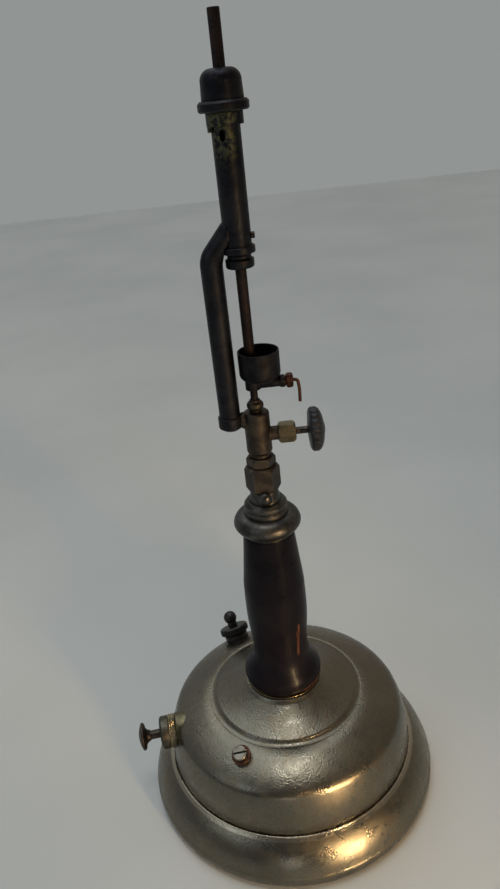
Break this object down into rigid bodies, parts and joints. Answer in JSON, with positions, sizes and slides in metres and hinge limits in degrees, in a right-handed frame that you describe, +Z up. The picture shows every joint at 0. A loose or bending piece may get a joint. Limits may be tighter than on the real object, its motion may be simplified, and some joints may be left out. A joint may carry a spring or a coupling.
{
  "type": "alcohol burner",
  "caption": "Pressure burner for alcohol: round metal tank with pump and filler, wood grip, needle valve, priming cup, mixing tube and tall burner head.",
  "frame": {"origin": "centre of the ring that the foot stands on, at table level, on the axis of the tank and stem", "axes": "+Z up along the stem, -Y the front with the slotted level plug to its left, +X the side of the handwheel and drain lever"},
  "size_m": [0.2054, 0.2, 0.4838],
  "materials": {
    "nickel": "worn satin nickel plate",
    "black_wood": "worn black lacquer",
    "bronze": "tarnished nickel over brass",
    "valve_brass": "dark tarnished brass",
    "bright_brass": "rubbed brass",
    "plain_brass": "plain brass",
    "steel": "dark steel",
    "pump_handle": "dark bronze",
    "black_enamel": "black enamel",
    "sooted_brass": "heat blackened",
    "cup_metal": "sooted",
    "copper": "reddened copper",
    "rusty_iron": "heat browned iron",
    "gunmetal": "dark gunmetal",
    "plug_metal": "worn nickel over brass",
    "leather": "oiled leather",
    "packing_cord": "graphited cord",
    "wire_gauze": "fine wire gauze"
  },
  "bodies": {
    "root": {"foot_skirt": "nickel", "tank_shell": "nickel", "tank_bottom": "nickel", "stem_boss": "plain_brass", "stem_tube": "plain_brass", "pickup_tube": "plain_brass", "pickup_strainer": "wire_gauze", "grip_washer": "plain_brass", "grip": "black_wood", "collar_lip": "bronze", "collar": "bronze", "seat_ring": "bronze", "lock_ring": "bronze", "stem_socket": "bronze", "socket_screw": "bronze", "union_nut": "valve_brass", "gland_nut": "valve_brass", "valve_body": "valve_brass", "packing": "packing_cord", "packing_nut": "bright_brass", "jet_nipple": "plain_brass", "jet_housing": "sooted_brass", "mixing_tube": "sooted_brass", "generator_nut": "valve_brass", "generator_stub": "rusty_iron", "cup_bracket": "cup_metal", "priming_cup": "cup_metal", "drain_gland": "copper", "generator_tube": "rusty_iron", "feed_tube": "plain_brass", "burner_bush": "sooted_brass", "burner_tube": "sooted_brass", "bush_screw": "steel", "burner_flange": "sooted_brass", "gallery_clip": "sooted_brass", "burner_gauze": "wire_gauze", "burner_bell": "sooted_brass", "pump_boss": "valve_brass", "pump_barrel": "plain_brass", "pump_ring": "bright_brass", "pump_cap": "valve_brass", "pump_valve_seat": "plain_brass", "pump_valve_ball": "steel", "filler_boss": "gunmetal", "filler_gasket": "leather", "plug_boss": "plug_metal", "plug_washer": "copper", "level_plug": "plug_metal"},
    "valve_stem": {"valve_spindle": "steel"},
    "wheel": {"handwheel": "black_enamel", "handwheel_nut": "steel"},
    "drain_cock": {"drain_lever": "copper"},
    "pump_plunger": {"pump_rod": "pump_handle", "pump_knob": "pump_handle", "piston_leather": "leather", "piston_nut": "plain_brass"},
    "filler_thread": {"filler_stem": "plain_brass"},
    "filler_cap": {"filler_disc": "gunmetal"},
    "vent_thread": {"vent_stem": "plain_brass"},
    "vent_cap": {"vent_knob": "gunmetal"}
  },
  "joints": [
    {"name": "valve_travel", "type": "slide", "parent": "root", "child": "valve_stem", "axis": [1, 0, 0], "range_m": [0, 0.0015]},
    {"name": "wheel_turn", "type": "hinge", "parent": "valve_stem", "child": "wheel", "pos_m": [0.03, 0, 0.2695], "axis": [1, 0, 0], "range_deg": [0, 545]},
    {"name": "drain_turn", "type": "hinge", "parent": "root", "child": "drain_cock", "pos_m": [0.018, 0, 0.3013], "axis": [1, 0, 0], "range_deg": [-90, 90]},
    {"name": "pump_stroke", "type": "slide", "parent": "root", "child": "pump_plunger", "axis": [-0.9903, -0.1392, 0], "range_m": [-0.007, 0.06]},
    {"name": "filler_lift", "type": "slide", "parent": "root", "child": "filler_thread", "axis": [-0.2332, 0.4423, 0.866], "range_m": [0, 0.006]},
    {"name": "filler_turn", "type": "hinge", "parent": "filler_thread", "child": "filler_cap", "pos_m": [-0.03358, 0.06369, 0.0646], "axis": [-0.2332, 0.4423, 0.866], "range_deg": [0, 1450]},
    {"name": "vent_lift", "type": "slide", "parent": "filler_thread", "child": "vent_thread", "axis": [-0.2332, 0.4423, 0.866], "range_m": [0, 0.0015]},
    {"name": "vent_turn", "type": "hinge", "parent": "vent_thread", "child": "vent_cap", "pos_m": [-0.03358, 0.06369, 0.0646], "axis": [-0.2332, 0.4423, 0.866], "range_deg": [0, 725]}
  ],
  "couplings": [
    {"joint": "wheel_turn", "follows": "valve_travel", "rad_per_m": 6283.2},
    {"joint": "filler_turn", "follows": "filler_lift", "rad_per_m": 4188.8},
    {"joint": "vent_turn", "follows": "vent_lift", "rad_per_m": 8377.6}
  ]
}
